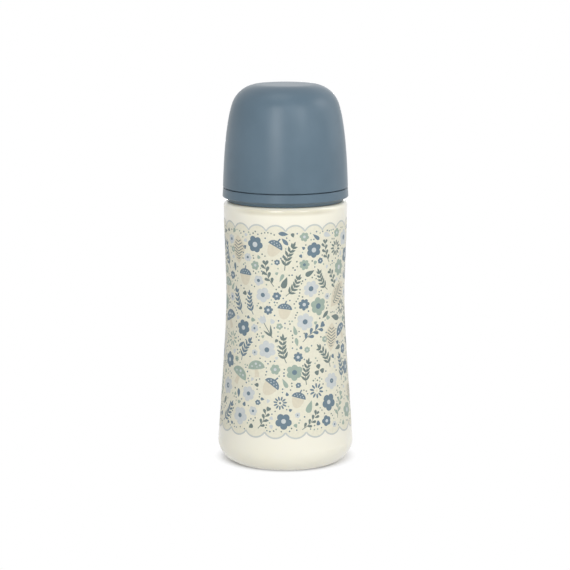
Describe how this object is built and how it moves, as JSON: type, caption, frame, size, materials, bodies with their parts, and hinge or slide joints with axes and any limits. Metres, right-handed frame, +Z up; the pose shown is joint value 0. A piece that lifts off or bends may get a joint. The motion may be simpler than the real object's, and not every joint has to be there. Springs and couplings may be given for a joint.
{
  "type": "baby bottle",
  "caption": "Wide-neck waisted baby bottle with a silicone teat held by a screw collar, under a domed pull-off hood.",
  "frame": {"origin": "centre of the foot, on the table", "axes": "+Z up along the bottle's axis; -Y faces the viewer and +X is to the viewer's right"},
  "size_m": [0.0714, 0.0714, 0.1998],
  "materials": {
    "bottle": "satin translucent polypropylene",
    "teat": "translucent satin silicone",
    "collar": "fine matt moulded polypropylene",
    "hood": "fine matt moulded polypropylene"
  },
  "bodies": {
    "bottle": {"bottle": "bottle"},
    "teat": {"teat": "teat"},
    "collar": {"collar": "collar"},
    "hood": {"hood": "hood"}
  },
  "joints": [
    {"name": "ring_rise", "type": "slide", "parent": "bottle", "child": "teat", "axis": [0, 0, 1], "range_m": [0, 0.006]},
    {"name": "ring_turn", "type": "hinge", "parent": "teat", "child": "collar", "pos_m": [0, 0, 0.146], "axis": [0, 0, 1], "range_deg": [0, 360]},
    {"name": "hood_pull", "type": "slide", "parent": "collar", "child": "hood", "axis": [0, 0, 1], "range_m": [0, 0.07]}
  ],
  "couplings": [
    {"joint": "ring_rise", "follows": "ring_turn", "m_per_rad": 0.00095492}
  ]
}
